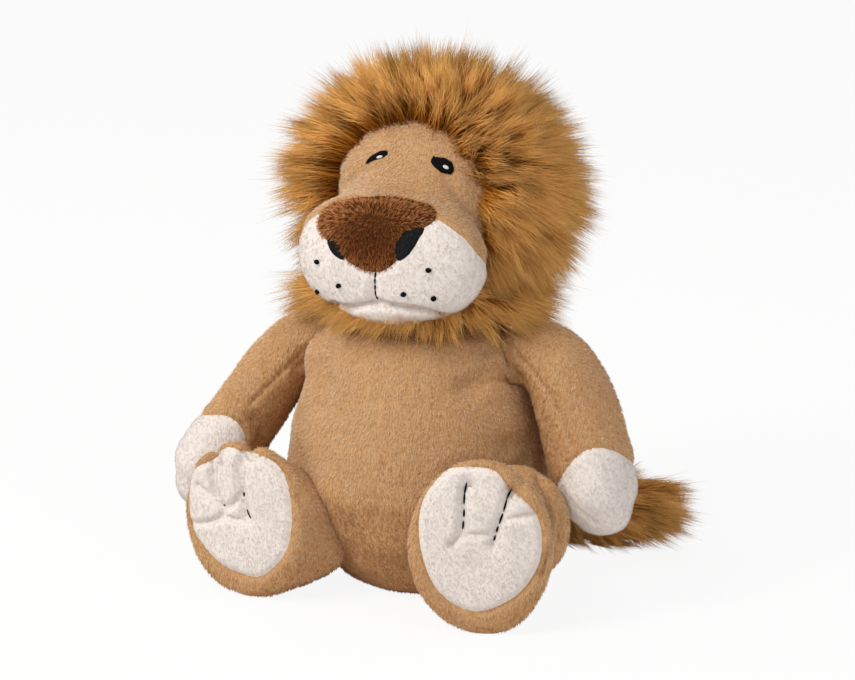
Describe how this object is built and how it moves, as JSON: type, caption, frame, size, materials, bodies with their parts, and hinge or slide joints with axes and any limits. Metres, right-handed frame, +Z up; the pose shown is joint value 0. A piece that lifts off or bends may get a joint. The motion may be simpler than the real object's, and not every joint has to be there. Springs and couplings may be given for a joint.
{
  "type": "plush lion",
  "caption": "Seated stuffed lion in short-pile plush with a long fur mane, blunt muzzle, sewn limbs with pale paws and soles, and a tufted tail.",
  "frame": {"origin": "centre of the flat seat under the torso, on the surface the lion sits on", "axes": "+Z up, the lion looks along -Y, its left side is +X"},
  "size_m": [0.2388, 0.1759, 0.262],
  "materials": {
    "tan_plush": "short-pile plush with a soft nap, pile about 2 mm",
    "cream_plush": "short-pile plush in off-white, pile about 2 mm",
    "brown_plush": "short-pile plush with the nap running sideways",
    "mane_fur": "long faux fur in clumped locks with paler tips, pile about 38 mm",
    "black_thread": "satin-stitched embroidery thread and felt",
    "white_thread": "satin-stitched embroidery thread",
    "fibre_filling": "loose polyester fibre fill",
    "pouch_cloth": "woven pouch filled with plastic pellets"
  },
  "bodies": {
    "torso": {"torso_skin": "tan_plush", "torso_filling": "fibre_filling", "pellet_pouch": "pouch_cloth"},
    "head": {"face_skin": "tan_plush", "muzzle_panel": "cream_plush", "chin_panel": "cream_plush", "nose_panel": "brown_plush", "nostril_left": "black_thread", "nostril_right": "black_thread", "eye_left": "black_thread", "eye_right": "black_thread", "eye_glint_left": "white_thread", "eye_glint_right": "white_thread", "whisker_dot_left_1": "black_thread", "whisker_dot_left_2": "black_thread", "whisker_dot_left_3": "black_thread", "whisker_dot_right_1": "black_thread", "whisker_dot_right_2": "black_thread", "whisker_dot_right_3": "black_thread", "mouth_stitch": "black_thread", "head_filling": "fibre_filling", "ear_cover_left": "tan_plush", "ear_cover_right": "tan_plush", "ear_lining_left": "tan_plush", "ear_lining_right": "tan_plush", "mane_ruff": "mane_fur", "mane_back": "mane_fur"},
    "arm_left": {"arm_sleeve_left": "tan_plush", "paw_cap_left": "cream_plush", "arm_filling_left": "fibre_filling"},
    "arm_right": {"arm_sleeve_right": "tan_plush", "paw_cap_right": "cream_plush", "arm_filling_right": "fibre_filling"},
    "leg_left": {"leg_sleeve_left": "tan_plush", "sole_left": "cream_plush", "leg_filling_left": "fibre_filling", "toe_stitch_left_1": "black_thread", "toe_stitch_left_2": "black_thread"},
    "leg_right": {"leg_sleeve_right": "tan_plush", "sole_right": "cream_plush", "leg_filling_right": "fibre_filling", "toe_stitch_right_1": "black_thread", "toe_stitch_right_2": "black_thread"},
    "tail": {"tail_cover": "tan_plush", "tail_tuft": "mane_fur"}
  },
  "joints": [
    {"name": "neck_turn", "type": "hinge", "parent": "torso", "child": "head", "pos_m": [0, 0.012, 0.1355], "axis": [0, 0, 1], "range_deg": [-25, 25], "stiffness_Nm_per_rad": 0.6},
    {"name": "shoulder_left", "type": "hinge", "parent": "torso", "child": "arm_left", "pos_m": [0.05, 0.004, 0.116], "axis": [0, -1, 0], "range_deg": [-5, 45], "stiffness_Nm_per_rad": 0.5},
    {"name": "shoulder_right", "type": "hinge", "parent": "torso", "child": "arm_right", "pos_m": [-0.05, 0.004, 0.116], "axis": [0, 1, 0], "range_deg": [-5, 45], "stiffness_Nm_per_rad": 0.5},
    {"name": "hip_left", "type": "hinge", "parent": "torso", "child": "leg_left", "pos_m": [0.042, -0.022, 0.028], "axis": [0.9563, 0.2924, 0], "range_deg": [-3, 15], "stiffness_Nm_per_rad": 1.5},
    {"name": "hip_right", "type": "hinge", "parent": "torso", "child": "leg_right", "pos_m": [-0.042, -0.022, 0.028], "axis": [0.9962, -0.0872, 0], "range_deg": [-3, 15], "stiffness_Nm_per_rad": 1.5},
    {"name": "tail_swing", "type": "hinge", "parent": "torso", "child": "tail", "pos_m": [0, 0.056, 0.022], "axis": [0, 0, 1], "range_deg": [-5, 80], "stiffness_Nm_per_rad": 0.1}
  ]
}
